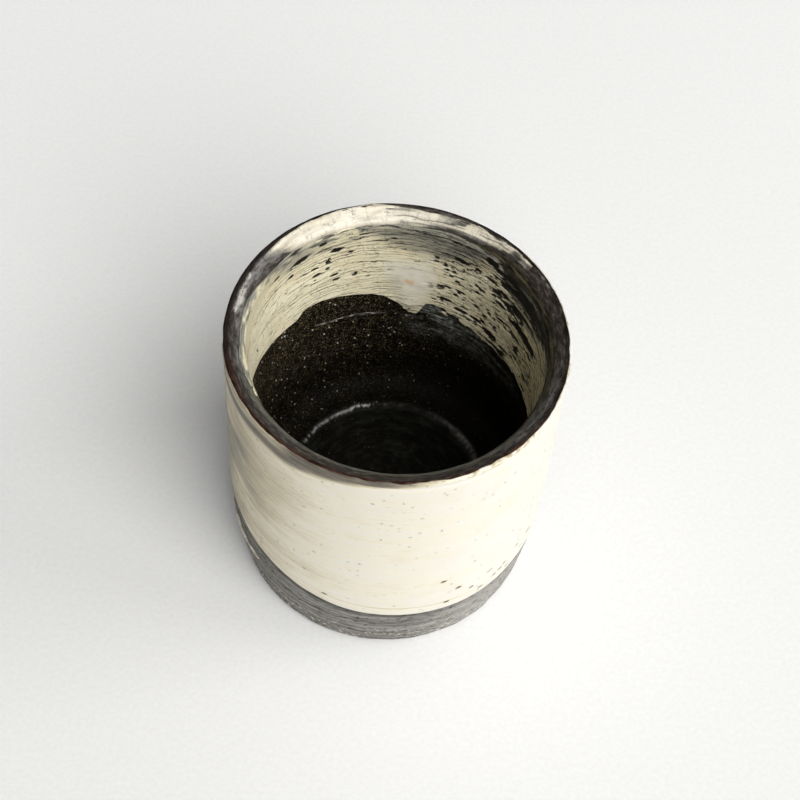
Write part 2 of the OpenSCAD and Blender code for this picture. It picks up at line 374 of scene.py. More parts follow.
INNER_SPOTS += scattered(6, 60, (92, 350), (43, 57), (0.2, 0.5), (0.12, 0.25))
OUTER_PITS = sized((0.6, 0.3), [
    (-48, 21.5), (-45, 18), (-42, 18.5), (-40, 19.5), (-27, 22), (-25, 21.5), (-34, 22), (-65, 17), (-55, 19),
    (-61, 21.5), (-67, 26), (-109, 19), (-38, 17), (-30, 19), (-51, 16.5)])
FAINT_PITS = scattered(7, 90, (-180, 180), (18, 58), (0.2, 0.45), (0.15, 0.3))

# On the lip the height is a distance over it, from where its bend starts
LIP_DABS = [(158.5, 3.6, 0.9, 0.4), (164.0, 3.3, 2.0, 0.6), (168.5, 3.1, 2.0, 0.65), (173.0, 3.3, 1.0, 0.45)]
LIP_HAZE = [(143.0, 2.8, 3.0, 1.0), (150.0, 3.4, 3.6, 1.0), (157.0, 2.9, 3.0, 0.9), (176.0, 2.4, 4.0, 0.7),
            (-168.0, 2.3, 4.0, 0.6), (-20.0, 3.2, 6.0, 0.7), (-38.0, 3.2, 6.0, 0.7)]
LIP_FLECKS = [(105.5, 4.4, 0.8, 0.15), (103.0, 4.6, 0.4, 0.12), (112.5, 4.3, 0.6, 0.1), (96.0, 3.7, 0.9, 0.1)]
CREST_DABS = sized((0.5, 0.25), [
    (-99, 4.9), (-83, 4.8), (-75, 4.8), (-70, 4.7), (-65, 4.8), (-48, 4.8), (27, 4.4), (31, 4.4)])


# How fully slip covers the clay, from 0 for bare clay to 1 for thick cream slip

def inner_cover(deg, h):
    """How fully slip covers the inner wall, how combed it looks and how torn it is."""
    dry = dryness(deg)
    lines = wall_noise(deg, h, 0.05, 1.1, 22, 2)
    broken = wall_noise(deg, h, 0.5, 1.7, 21, 2)
    patchy = wall_noise(deg, h, 0.1, 0.22, 24, 2)
    cover = 0.98 - 0.14 * step(0.5, 0.8, lines) - 0.14 * step(0.5, 0.8, patchy)

    # Smooth near the lip at the left, and faded along its top
    smooth = near(deg, 164, 44, 30) * step(54.0, 57.5, h + 3.0 * (patchy - 0.5))
    cover = mix(cover, 0.74 + 0.3 * (patchy - 0.5), smooth)
    from_top = BEND_START + inner_top(deg) - h + 1.2 * (lines - 0.5) + 2.4 * (broken - 0.5)
    cover = mix(cover, 0.36, 0.9 * near(deg, 174, 42, 24) * step(1.6, 0.5, from_top))

    # Dashes along the top of the back, grey slip beside the run and dark streaks at the right
    dashed = step(86, 96, deg) * step(152, 136, deg) * step(54.5, 58.0, h)
    dashes = step(0.52, 0.66, wall_noise(deg, h, 0.25, 2.0, 25, 2))
    cover -= dashed * (0.2 + 0.32 * dashes)
    grey = step(-3.0, 3.0, h - grey_above(deg) + 3.0 * (patchy - 0.5))
    cover = mix(cover, 0.44 + 0.24 * (lines - 0.5) + 0.2 * (patchy - 0.5), grey)
    into_dark = h - dark_above(deg) + 4.0 * (patchy - 0.5) + 9.0 * (lines - 0.5) + 5.0 * (broken - 0.5)
    streaks = step(0.45, 0.66, wall_noise(deg, h, 0.09, 1.9, 26, 2))
    olive = 0.07 + 0.4 * streaks * (0.4 + 0.6 * step(0.3, 0.55, patchy))
    cover = mix(cover, olive, step(-2.6, 3.2, into_dark))

    # Gaps where the brush ran dry, and torn spots
    gaps = step(0.86, 0.94, broken + 0.2 * dry + 0.16 * (patchy - 0.5) + 0.12 * (lines - 0.5))
    cover *= 1.0 - 0.95 * gaps * step(0.02, 0.2, dry)
    cover *= 1.0 - spots(deg, h, MOUTH_R, INNER_SPOTS, 23)
    left = step(134, 150, deg) * step(352, 330, deg)
    combed = np.clip(1.0 - 0.85 * smooth - 0.6 * grey, 0, 1) * (1.0 + 0.2 * dry - 0.35 * left)
    return cover, combed, dry * step(0.3, 0.6, cover)


def outer_cover(deg, g):
    """How fully slip covers the outer wall, with painted shade in its colour at the far left and under the
    lip, and painted light at the right.
    """
    broad = wall_noise(deg, g, 0.03, 0.3, 31, 3)
    lines = wall_noise(deg, g, 0.03, 1.0, 32, 2)
    patches = wall_noise(deg, g, 0.06, 0.16, 40, 4)
    mottled = wall_noise(deg, g, 0.22, 0.32, 76, 3) - 0.5
    # The far left is darker and mottled: partly thin slip, partly painted shade on the side away from the
    # light
    thin = near(deg, -178, 82, 14)
    # At the right the slip is painted whiter and less yellow, as painted light where the window washes it out
    right = near(deg, -25, 60, 25)
    calm = near(deg, -70, 95, 50)
    cover = 0.95 + 0.05 * right - (0.11 - 0.05 * calm) * step(0.42, 0.8, broad)
    cover -= (0.06 - 0.03 * calm + 0.08 * thin) * step(0.45, 0.85, lines)
    cover -= thin * (0.19 + 0.2 * step(0.34, 0.68, patches) + 0.3 * mottled)

    # The dark band under the lip, thin slip with painted shade under the roll, the pale roll above it at the
    # left, and the bitten top at the right
    over_low = g - band_low(deg) + 1.4 * (broad - 0.5)
    band = 0.94 * near(deg, -150, 92, 54) * step(-0.9, 0.9, over_low)
    cover = mix(cover, 0.31 + 0.08 * (lines - 0.5), band)
    roll = near(deg, -160, 40, 28) * step(1.7, 3.0, over_low)
    cover = mix(cover, 0.64 + 0.2 * (lines - 0.5), roll)
    bitten = near(deg, -20, 60, 40) * step(60.6, 62.0, g)
    cover -= 0.4 * bitten * step(0.5, 0.7, wall_noise(deg, g, 0.8, 0.8, 38, 3))

    # A scored line above the lower edge, and pits
    scored = bump(g, outer_edge(deg) + 3.1, 0.16) * near(deg, -86, 38, 24)
    cover -= 0.25 * scored
    faint = 0.1 * spots(deg, g, BELLY_R, FAINT_PITS, 33)
    return cover * (1.0 - np.maximum(faint, 0.85 * spots(deg, g, BELLY_R, OUTER_PITS, 34)))


def lip_cover(deg, over, inner, outer):
    """How fully slip covers the lip's crescent, which has blotches, gaps, joints and a split."""
    right = step(106, 92, deg)
    blotches = wall_noise(deg, over, 0.4, 0.9, 64, 3)
    cover = 0.64 + 0.46 * blotches - 0.45 * step(84, 66, deg) * step(0.52, 0.34, blotches)
    cover *= 1.0 - 0.9 * spots(deg, over, RIM_R, LIP_FLECKS, 65)
    gaps = step(0.56, 0.7, wall_noise(deg, over, 0.13, 2.0, 69, 2))
    joints = step(0.035, 0.012, np.abs(wall_noise(deg, over, 0.7, 0.35, 70, 2) - 0.5))
    middle = mix(inner, outer, 0.58) + 0.5 * (edge_noise(deg, 0.3, 72, 2) - 0.5)
    split = bump(over, middle, 0.13) * step(0.35, 0.6, edge_noise(deg, 0.25, 75, 2))
    cover *= 1.0 - (0.08 + 0.2 * right) * gaps
    cover *= 1.0 - (0.06 + 0.12 * right) * joints
    cover *= 1.0 - 0.5 * right * split
    ragged = over + wall_noise(deg, over, 0.1, 1.6, 67, 2) - 0.5
    cover *= mix(0.55, 1.0, step(-0.2, 1.5, ragged - inner))
    cover *= mix(0.5, 1.0, step(-0.2, 0.5, ragged - lip_bright_in(deg)))
    cover *= 0.5 + 0.5 * step(0.0, 9.0, LIP_SLIP_LEFT - deg)
    return cover * (0.5 + 0.5 * step(0.0, 2.5, deg - LIP_SLIP_RIGHT))


# Meshes from grids of points

def make_mesh(name, points, faces, attributes):
    """An object from points in mm, lists of same-length faces, and named values for each point."""
    loops = np.concatenate([f.ravel() for f in faces])
    totals = np.concatenate([np.full(len(f), f.shape[1]) for f in faces])
    starts = np.concatenate([[0], np.cumsum(totals)[:-1]])
    mesh = bpy.data.meshes.new(name)
    mesh.vertices.add(len(points))
    mesh.vertices.foreach_set("co", (points * MM).ravel().astype(np.float32))
    mesh.loops.add(len(loops))
    mesh.loops.foreach_set("vertex_index", loops.astype(np.int32))
    mesh.polygons.add(len(totals))
    mesh.polygons.foreach_set("loop_start", starts.astype(np.int32))
    mesh.polygons.foreach_set("use_smooth", np.ones(len(totals), bool))
    mesh.update(calc_edges=True)
    for key, values in attributes.items():
        layer = mesh.attributes.new(key, "FLOAT", "POINT")
        layer.data.foreach_set("value", values.astype(np.float32))
    return link(name, mesh)


def link(name, data):
    """A new object in the scene."""
    made = bpy.data.objects.new(name, data)
    bpy.context.scene.collection.objects.link(made)
    return made


def grid_faces(rows, columns, wrap_rows, wrap_columns):
    """Quads between the points of a grid, which may close on itself either way."""
    i = np.arange(rows if wrap_rows else rows - 1)[:, None]
    j = np.arange(columns if wrap_columns else columns - 1)[None, :]
    i2 = (i + 1) % rows
    j2 = (j + 1) % columns
    corners = [i * columns + j, i * columns + j2, i2 * columns + j2, i2 * columns + j]
    return np.stack([np.broadcast_to(c, (len(i), j.shape[1])) for c in corners], -1).reshape(-1, 4)


def patch(name, front, back, attributes):
    """A closed piece from a front and a back grid of points, joined round their edges."""
    rows, columns = front.shape[:2]
    points = np.concatenate([front.reshape(-1, 3), back.reshape(-1, 3)])
    top = grid_faces(rows, columns, False, False)
    under = top[:, ::-1] + rows * columns
    index = np.arange(rows * columns).reshape(rows, columns)
    rim = np.concatenate([index[0, :-1], index[:-1, -1], index[-1, :0:-1], index[:0:-1, 0]])
    after = np.roll(rim, -1)
    side = np.stack([after, rim, rim + rows * columns, after + rows * columns], -1)
    values = {k: np.concatenate([v.ravel(), v.ravel()]) for k, v in attributes.items()}
    return make_mesh(name, points, [top, under, side], values)


def spread(start, end, count):
    """Evenly spread values from the start, without the end."""
    return np.linspace(start, end, count, endpoint=False)


def line(start, end, count):
    """Points along a straight stretch of a section, without its end."""
    t = np.arange(count)[:, None] / count
    return np.array(start) + (np.array(end) - np.array(start)) * t


def arc(middle, radius, start, end, count):
    """Points along a round stretch of a section, without its end."""
    a = np.radians(start + (end - start) * np.arange(count) / count)
    return np.stack([middle[0] + radius * np.cos(a), middle[1] + radius * np.sin(a)], -1)


def round_the_cup(columns):
    """Directions spread evenly round the cup."""
    return np.arange(columns) * 360.0 / columns


# The clay

def clay_section():
    """The clay's half section, from the middle of the floor over the lip to the middle of the underside."""
    well_in = WELL_R - WELL_SOFT
    well_out = WELL_R + WELL_SOFT
    cove_in = INNER_LOW_R - COVE_R
    recess_in = RECESS_R - RECESS_DRAFT
    well = spread(well_in, well_out, 14)
    face = np.concatenate([spread(COVE_Z, COVERED_Z, 40), spread(COVERED_Z, BEND_START, 8),
                           spread(BEND_START, LIP_TOP, 24), spread(LIP_TOP, CREST_END, 10)])
    side = np.concatenate([spread(ROUND_Z, SIDE_TOP, 8), spread(SIDE_TOP, FOOT_TOP, 5)])
    foot = spread(FOOT_TOP, FOOT_BEVEL, 66)
    return np.concatenate([
        line((POLE_R, FLOOR_Z), (well_in, FLOOR_Z), 14),
        np.stack([well, FLOOR_Z + WELL_H * step(well_in, well_out, well)], -1),
        line((well_out, LEDGE_Z), (cove_in, LEDGE_Z), 4),
        arc((cove_in, COVE_Z), COVE_R, -90, 0, 10),
        np.stack(inside(face)[:2], -1),
        np.stack(outside(side)[:2], -1),
        np.stack([wall_r(foot), foot], -1),
        line((wall_r(FOOT_BEVEL), FOOT_BEVEL), (FOOT_R - FOOT_BEVEL, 0.0), 4),
        line((FOOT_R - FOOT_BEVEL, 0.0), (RECESS_R, 0.0), 5),
        line((RECESS_R, 0.0), (recess_in, RECESS_H), 4),
        line((recess_in, RECESS_H), (POLE_R, RECESS_H), 6),
        [(POLE_R, RECESS_H)],
    ])


def clay_zones(section):
    """Where the section's rows lie: outside, foot band, underside, lip, floor and inner wall."""
    r, z = section[:, :1], section[:, 1:]
    out = np.arange(len(section))[:, None] > np.argmax(z)
    return {
        "outside": out,
        "foot": out & (z < FOOT_TOP + 0.1) & (r > RECESS_R + 0.5),
        "under": out & (z < RECESS_H + 0.1) & (r <= RECESS_R),
        "lip": (z > BEND_START + 0.3) & (~out | (z > ROLL_Z - 1.0)),
        "floor": ~out & (z < LEDGE_Z + 0.4),
        "wall": ~out & (z >= LEDGE_Z + 0.4) & (z <= BEND_START + 0.3),
    }


def clay_relief(r, deg, z, zones):
    """How far throwing rings, trimming marks and sand lift the clay's face."""
    trim = wall_noise(deg, z, 0.05, 1.2, 41, 3) - 0.5
    tears = wall_noise(deg, z, 0.4, 1.5, 42, 3) - 0.5
    sand = noise(polar(r, deg, z) * 0.9, 43, 2) - 0.5
    turned = noise(np.stack([r * 1.2, deg * 0.02, z * 0.0], -1), 44, 2) - 0.5
    soft = wall_noise(deg, z, 0.35, 0.6, 45, 2)
    rings = np.sin(z * 2.0 * math.pi / THROW_RING + np.radians(deg))
    trimmed = (0.3 * trim + 0.4 * tears + 0.12) * step(0.0, 1.0, z) * step(FOOT_TOP, 21.0, z)
    lift = 0.03 * sand + zones["foot"] * trimmed
    lift += (zones["under"] | zones["floor"]) * 0.12 * turned
    lift -= zones["lip"] * (0.08 + 0.16 * soft)
    lift += zones["wall"] * 0.05 * rings
    return np.where(zones["outside"] & (z < 1e-6), 0.0, lift)


def lip_angle(r, z):
    """Angle about the lip's pivot."""
    return np.arctan2(z - LIP_PIVOT_Z, r - LIP_PIVOT_R)


def lip_distance(r, z):
    """Distance over the lip from where its bend starts, by radius and height."""
    h = np.linspace(BEND_START, CREST_END, 200)
    return np.interp(-lip_angle(r, z), -lip_angle(*inside(h)[:2]), h - BEND_START)


def painted_ring_highlight(r, deg):
    """A painted highlight along the edge of the floor's well."""
    jag = wall_noise(deg, r, 1.4, 0.9, 49, 2)
    at_right = near(deg, 30, 70, 40)
    ring = bump(r + 0.5 * (jag - 0.5), WELL_R + 0.35, 0.24 + 0.28 * at_right) * ring_highlight(deg)
    ring *= mix(step(0.3, 0.55, jag), 0.7, 0.6 * at_right)
    return ring * mix(0.45, 1.0, step(0.35, 0.6, wall_noise(deg, r, 0.5, 1.5, 77, 2)))


def clay_looks(r, deg, z, zones):
    """Values for each point that the clay's material reads."""
    lip = zones["lip"] * 1.0
    glazed = ~zones["outside"] * 1.0
    over = np.where(zones["outside"], CREST_END + ROUND_Z - z - BEND_START, lip_distance(r, z))
    rough = wall_noise(deg, over, 0.5, 0.5, 47, 3) - 0.5
    dabs = spots(deg, over, RIM_R, LIP_DABS, 36, (1.4, 0.4))
    dabs = np.maximum(dabs, 0.6 * spots(deg, over, RIM_R, CREST_DABS, 37))
    front = near(deg, -95, 80, 52)
    crest_edge = bump(over + 0.5 * rough, CREST + 0.45, 0.42)
    black_edge = near(deg, 168, 50, 30) * step(3.5, 4.3, over + 0.9 * rough)
    brushed = step(0.3, 0.6, wall_noise(deg, z, 0.22, 1.3, 48, 3))
    veil = zones["wall"] * step(25, 31, z) * step(92, 80, deg) * step(16, 42, deg)
    near_tongue = bump(deg, 70, 15) * bump(z, 34.5, 3.4)
    # pale marks the foot's lit right side, which is painted paler as painted light and given less painted
    # shade under the slip
    pale = near(deg, -25, 65, 20)
    # Painted shade on the foot just under the slip's lower edge
    painted_shade_under_slip = step(2.6, 0.2, outer_edge(deg) - z + 1.2 * rough)
    looks = {
        "glazed": glazed,
        "lip": lip,
        "edge": lip * np.maximum(crest_edge, black_edge),
        "front": lip * front,
        "dab": lip * dabs,
        "haze": lip * spots(deg, over, RIM_R, LIP_HAZE, 39, (1.5, 0.1)),
        "inner_lip": lip * front * step(2.9, 2.1, over + 0.6 * rough),
        # Dark olive streaks inside the lip at the right, partly painted shade
        "shaded_lip": lip * near(deg, 24, 50, 34) * step(2.8, 1.2, over + 1.2 * rough),
        "veil": veil * (0.22 + 0.78 * near_tongue) * brushed,
        "shadowed": zones["foot"] * (1.0 - 0.5 * pale) * painted_shade_under_slip,
        "pale": zones["foot"] * pale,
        "floor": zones["floor"] * step(WELL_R + 0.4, WELL_R - 0.4, r),
        # A painted highlight on the edge of the floor's well
        "ring": zones["floor"] * painted_ring_highlight(r, deg),
        # Sand specks, painted fainter low in the cup and towards the shaded right as painted shade
        "sandy": glazed * (1.0 - lip) * mix(0.25, 1.0, step(13.0, 28.0, z)) * sand_and_light(deg),
    }
    return {key: np.broadcast_to(values, z.shape) for key, values in looks.items()}


def make_clay():
    section = clay_section()
    zones = clay_zones(section)
    rows = len(section)
    deg, r = np.meshgrid(round_the_cup(CLAY_COLUMNS), section[:, 0])
    z = np.broadcast_to(section[:, 1:], r.shape)
    along = np.gradient(section, axis=0)
    normal = np.stack([-along[:, 1], along[:, 0]], -1) / np.linalg.norm(along, axis=1, keepdims=True)
    lift = clay_relief(r, deg, z, zones)
    looks = clay_looks(r, deg, z, zones)
    torn = edge_noise(deg, 0.4, 46, 3) - 0.5
    ragged = zones["floor"] * bump(r, WELL_R, 1.0) * 0.7 * torn
    r = r + lift * normal[:, :1] + ragged + wobble(deg, z)
    z = np.clip(z + lift * normal[:, 1:], 0.0, HEIGHT)

    # The middles of the floor and the underside are closed by fans of triangles
    count = rows * CLAY_COLUMNS
    poles = np.array([[0.0, 0.0, z[0].mean()], [0.0, 0.0, z[-1].mean()]])
    points = np.concatenate([polar(r, deg, z).reshape(-1, 3), poles])
    j = np.arange(CLAY_COLUMNS)
    j2 = (j + 1) % CLAY_COLUMNS
    last = count - CLAY_COLUMNS
    fans = np.concatenate([np.stack([np.full_like(j, count), j, j2], -1),
                           np.stack([np.full_like(j, count + 1), last + j2, last + j], -1)])
    values = {k: np.concatenate([v.ravel(), [v[0, 0], v[-1, 0]]]) for k, v in looks.items()}
    faces = grid_faces(rows, CLAY_COLUMNS, False, True)[:, ::-1]
    return make_mesh("clay", points, [faces, fans], values)


# Slip and glaze

def rounded(x):
    """A quarter round from 0 to 1."""
    return np.sqrt(1.0 - (1.0 - np.clip(x, 0.0, 1.0)) ** 2)


def coat_grid(low, high, rows):
    """Direction and distance along the face for rows of points between two edges round the cup."""
    along = low + (high - low) * np.linspace(0.0, 1.0, rows)[:, None]
    return np.broadcast_to(round_the_cup(len(low)), along.shape), along


def coat(name, face, deg, along, depth, values):
    """A closed ring of slip on a face, by the direction, distance, depth and values of its points."""
    rows, columns = along.shape
    back_rows = [rows - 1, 3 * rows // 4, rows // 2, 0]
    front = on_face(face, deg, along, depth)
    back = on_face(face, deg[back_rows], along[back_rows], -SUNK)
    points = np.concatenate([front, back])
    kept = {k: np.concatenate([v, v[back_rows]]).ravel() for k, v in values.items()}
    faces = grid_faces(len(points), columns, True, True)
    if face is inside:
        faces = faces[:, ::-1]
    return make_mesh(name, points.reshape(-1, 3), [faces], kept)


def make_outer_slip():
    deg = round_the_cup(OUTER_COLUMNS)
    low = outer_edge(deg) + 0.3 * (edge_noise(deg, 0.35, 53, 3) - 0.5)
    high = outer_top(deg) + 0.6 * (edge_noise(deg, 0.4, 54, 3) - 0.5)
    d, g = coat_grid(low, high, OUTER_ROWS)
    cover = outer_cover(d, g)
    brush = wall_noise(d, g, 0.04, 1.1, 51, 2) - 0.5
    wall = OUTER_T * (0.5 + 0.38 * cover) + 0.08 * brush
    thick = mix(wall, OUTER_ROLL_T, step(59.8, ROLL_Z, g))
    thick = thick * rounded((g - low) / 0.4) * (0.3 + 0.7 * np.clip((high - g) / 0.4, 0, 1))
    return coat("outer_slip_coat", outside, d, g, thick, {"cover": cover})


def inner_slip_depth(deg, h, cover):
    """How thick the inner slip is away from its edges."""
    brush = wall_noise(deg, h, 0.05, 1.4, 52, 2) - 0.5
    return INNER_T * (0.35 + 0.65 * cover) + 0.08 * brush


def make_inner_slip():
    deg = round_the_cup(INNER_COLUMNS)
    uneven = 0.4 + 1.4 * dryness(deg) + 1.3 * bump(turn(deg, RUN_AT), 0.0, 13.0)
    low = inner_edge(deg) + uneven * (edge_noise(deg, 0.5, 55, 3) - 0.5)
    low += 0.9 * dryness(deg) * (edge_noise(deg, 1.4, 57, 2) - 0.5)
    high = BEND_START + inner_top(deg) + 0.5 * (edge_noise(deg, 0.3, 56, 3) - 0.5)
    d, h = coat_grid(low, high, INNER_ROWS)
    cover, combed, torn = inner_cover(d, h)
    thick = inner_slip_depth(d, h, cover) * rounded((h - low) / 0.3) * np.clip((high - h) / 1.2, 0, 1)
    values = {"cover": cover, "combed": combed, "torn": torn}
    return coat("inner_slip_coat", inside, d, h, thick, values)


def make_lip_slip():
    """The crescent of slip on the lip's face, widest at the back."""
    deg = np.linspace(LIP_SLIP_LEFT, LIP_SLIP_RIGHT, LIP_SLIP_COLUMNS)
    uneven = 1.0 + step(84, 66, deg)
    inner = lip_slip_in(deg) + 0.8 * uneven * (edge_noise(deg, 0.4, 62, 3) - 0.5)
    outer = CREST + lip_slip_out(deg) + 0.35 * uneven * (edge_noise(deg, 0.6, 61, 3) - 0.5)
    over = inner + np.maximum(outer - inner, 0.05) * np.linspace(0.0, 1.0, LIP_SLIP_ROWS)[:, None]
    d = np.broadcast_to(deg, over.shape)
    ends = rounded((LIP_SLIP_LEFT - d) / 3.0) * rounded((d - LIP_SLIP_RIGHT) / 1.5)
    puffy = 0.45 + 0.9 * wall_noise(d, over, 0.35, 0.6, 63, 2)
    edges = rounded((outer - over) / 0.35) * step(0.0, 0.9, over - inner)
    front = on_face(inside, d, BEND_START + over, 0.02 + LIP_SLIP_T * puffy * edges * ends)
    back = on_face(inside, d, BEND_START + over, -SUNK)
    return patch("lip_slip_band", front, back, {"cover": lip_cover(d, over, inner, outer)})


def make_run():
    """The milky run of glaze, thickest near its lower end."""
    across, h = np.meshgrid(np.linspace(-1.0, 1.0, RUN_COLUMNS), np.linspace(RUN_END, RUN_TOP, RUN_ROWS))
    down = (RUN_TOP - h) / (RUN_TOP - RUN_END)
    half = 13.0 + 1.8 * np.sin(down * 5.0) - 5.0 * down**3
    half *= 0.75 + 0.5 * noise(np.stack([h * 0.22, across * 0.6, h * 0.0], -1), 68, 2)
    deg = RUN_AT - across * half
    fade = (1.0 - across**2) ** 2 * step(0.0, 0.35, down) * step(1.0, 0.9, down)
    wisps = wall_noise(deg, h, 0.4, 0.25, 66, 3)
    milk = np.sqrt(fade) * (0.4 + 0.6 * bump(h, 45.5, 5.0))
    milk *= step(0.3, 0.75, wisps + 0.3 * bump(h, 45.0, 4.0))
    cover, combed, torn = inner_cover(deg, h)
    thick = mix(inner_slip_depth(deg, h, cover) - 0.05, INNER_T, fade)
    thick += RUN_T * fade * (0.4 + 0.6 * down)
    front = on_face(inside, deg, h, mix(-0.1, thick, step(0.0, 0.8, h - inner_edge(deg))))
    back = on_face(inside, deg, h, -SUNK)
    under_milk = step(0.25, 0.8, fade + 0.9 * (wisps - 0.5)) * step(RUN_TOP, 50.0, h)
    cover = np.maximum(cover, 0.85 * under_milk)
    values = {"cover": cover, "combed": combed, "torn": torn * 0.0, "milk": milk}
    return patch("milky_run", front, back, values)


def make_stroke(name, at, span, height, rise, wall, side, lift, tall, thick, covers, seed):
    """A thin stroke of slip on a wall, with its middle direction, half span, height and rise."""
    s, t = np.meshgrid(np.linspace(-1.0, 1.0, STROKE_COLUMNS), np.linspace(-1.0, 1.0, STROKE_ROWS))
    deg = at + span * s
    narrow = np.sqrt(np.clip(1.0 - s**2, 0, 1)) * (0.5 + edge_noise(deg, 0.4, seed, 2))
    z = height + rise * s + 0.5 * tall * t * np.maximum(narrow, 0.05)
    r = wall(z) + wobble(deg, z) + lift
    out = thick * np.sqrt(np.clip(1.0 - t**2, 0, 1)) * np.clip(narrow, 0, 1) + 0.02
    cover = mix(*covers, step(0.35, 0.75, wall_noise(deg, z, 0.9, 2.5, seed + 1, 2)))
    front = polar(r + side * out, deg, z)
    back = polar(r - side * SUNK, deg, z)
    piece = patch(name, front, back, {"cover": cover})
    if side < 0:
        piece.data.flip_normals()
    return piece


# Shader nodes

class Value:
    """A number, colour or vector that shader nodes work out. Arithmetic on it adds nodes to its tree."""

    def __init__(self, tree, socket):
        self.tree = tree
        self.socket = socket

    def maths(self, operation, other):
        return result(self.tree, "Math", 0, {0: self, 1: other}, operation=operation)

    def __add__(self, other):
        return self.maths("ADD", other)

    def __sub__(self, other):
        return self.maths("SUBTRACT", other)

    def __mul__(self, other):
        return self.maths("MULTIPLY", other)

    def fit(self, low, high, to_low=0.0, to_high=1.0):
        """Goes smoothly from to_low to to_high while the value goes from low to high."""
        span = {"Value": self, "From Min": low, "From Max": high, "To Min": to_low, "To Max": to_high}
        return result(self.tree, "MapRange", "Result", span, interpolation_type="SMOOTHSTEP")

    def ramp(self, stops):
        """Colour along the value, from stops of a position and a screen colour."""
        made = node(self.tree, "ValToRGB", {"Fac": self})
        elements = made.color_ramp.elements
        while len(elements) < len(stops):
            elements.new(0.5)
        for element, (at, colour) in zip(elements, stops):
            element.position = at
            element.color = (*srgb(*colour), 1.0)
        return Value(self.tree, made.outputs["Color"])

    def blend(self, a, b, kind="MIX"):
        """The first colour where the value is 0 and the second where it is 1."""
        a, b = (c if isinstance(c, Value) else srgb(*c) for c in (a, b))
        settings = {"data_type": "RGBA", "blend_type": kind, "clamp_factor": True}
        return result(self.tree, "Mix", 2, {0: self, 6: a, 7: b}, **settings)


def srgb(red, green, blue):
    """Linear colour of an 8-bit screen colour."""
    part = [c / 255.0 for c in (red, green, blue)]
    return tuple(c / 12.92 if c <= 0.04045 else ((c + 0.055) / 1.055) ** 2.4 for c in part)


def give(tree, socket, value):
    """Links a Value to a socket, or sets the socket to a constant."""
    if isinstance(value, Value):
        tree.links.new(value.socket, socket)
    elif socket.type == "RGBA":
        socket.default_value = (*value, 1.0)
    else:
        socket.default_value = value


def node(tree, kind, inputs=None, **settings):
    """A shader node with its settings and inputs."""
    made = tree.nodes.new("ShaderNode" + kind)
    for key, value in settings.items():
        setattr(made, key, value)
    for key, value in (inputs or {}).items():
        give(tree, made.inputs[key], value)
    return made


def result(tree, kind, output, inputs=None, **settings):
    """One output of a new shader node."""
    return Value(tree, node(tree, kind, inputs, **settings).outputs[output])


def attribute(tree, name):
    return result(tree, "Attribute", "Fac", attribute_name=name)


def parts(vector):
    """A vector's X, Y and Z."""
    made = node(vector.tree, "SeparateXYZ", {"Vector": vector})
    return [Value(vector.tree, made.outputs[axis]) for axis in "XYZ"]


def places(tree, around, up):
    """Object coordinates in cells per mm round the cup and up it."""
    coordinates = result(tree, "TexCoord", "Object")
    scale = (around / MM, around / MM, up / MM)
    return result(tree, "Mapping", "Vector", {"Vector": coordinates, "Scale": scale})


def height_mm(tree):
    return parts(places(tree, 1.0, 1.0))[2]


def ring_places(tree, around, across):
    """Coordinates that run round the cup without a seam, and across the turning direction on any face."""
    x, y, z = parts(places(tree, 1.0, 1.0))
    flat = result(tree, "CombineXYZ", "Vector", {"X": x, "Y": y})
    radius = result(tree, "VectorMath", "Value", {0: flat}, operation="LENGTH")
    heading = parts(result(tree, "VectorMath", "Vector", {0: flat}, operation="NORMALIZE"))
    scale = RIM_R * around
    at = {"X": heading[0] * scale, "Y": heading[1] * scale, "Z": (radius + z) * across}
    return result(tree, "CombineXYZ", "Vector", at)


def noise_node(tree, at, detail, rough):
    inputs = {"Vector": at, "Scale": 1.0, "Detail": detail, "Roughness": rough}
    return result(tree, "TexNoise", "Fac", inputs)


def soft_noise(tree, size_cells, detail=3.0, rough=0.55):
    """Noise with that many cells per mm in every direction."""
    return noise_node(tree, places(tree, size_cells, size_cells), detail, rough)


def streak_noise(tree, around, across, detail=3.0, rough=0.55):
    """Noise drawn out round the cup, with that many cells per mm each way."""
    return noise_node(tree, ring_places(tree, around, across), detail, rough)


def cells(tree, apart, up):
    """Distance to the nearest of scattered points, by their mm apart and up, and its random colour."""
    made = node(tree, "TexVoronoi", {"Vector": places(tree, 1 / apart, 1 / up), "Scale": 1.0})
    return Value(tree, made.outputs["Distance"]), Value(tree, made.outputs["Color"])


def random_part(hue, channel, low, high):
    """Rises from 0 to 1 for scattered points whose random colour lies between low and high."""
    return result(hue.tree, "SeparateColor", channel, {"Color": hue}).fit(low, high)


def crack_edges(tree):
    """Distance to fine cracks that mostly run across the turning direction."""
    inputs = {"Vector": places(tree, 0.9, 0.9), "Scale": 1.0, "Detail": 3.0}
    shake = result(tree, "TexNoise", "Color", inputs)
    shake = result(tree, "VectorMath", "Vector", {0: shake, 1: (0.8, 0.8, 0.8)}, operation="MULTIPLY")
    at = ring_places(tree, 1.0 / CRACKS_APART, 0.4 / CRACKS_APART)
    at = result(tree, "VectorMath", "Vector", {0: at, 1: shake}, operation="ADD")
    inputs = {"Vector": at, "Scale": 1.0}
    return result(tree, "TexVoronoi", "Distance", inputs, feature="DISTANCE_TO_EDGE")


def comb(tree, apart, width):
    """1 along thin lines round the cup, about that many mm apart, that wander a little."""
    drift = streak_noise(tree, 0.02, 0.08, 2.0).fit(0.2, 0.8, 0.0, 3.0 / apart)
    shake = streak_noise(tree, 0.1, 0.6, 2.0).fit(0.2, 0.8, 0.0, 0.8)
    waver = streak_noise(tree, 0.6, 0.5, 3.0).fit(0.2, 0.8, 0.0, 0.45 / apart)
    phase = height_mm(tree).maths("DIVIDE", apart) + (drift + shake + waver)
    return phase.maths("PINGPONG", 0.5).fit(0.0, width, 1.0, 0.0)


# Materials, with their colours as 8-bit screen colours

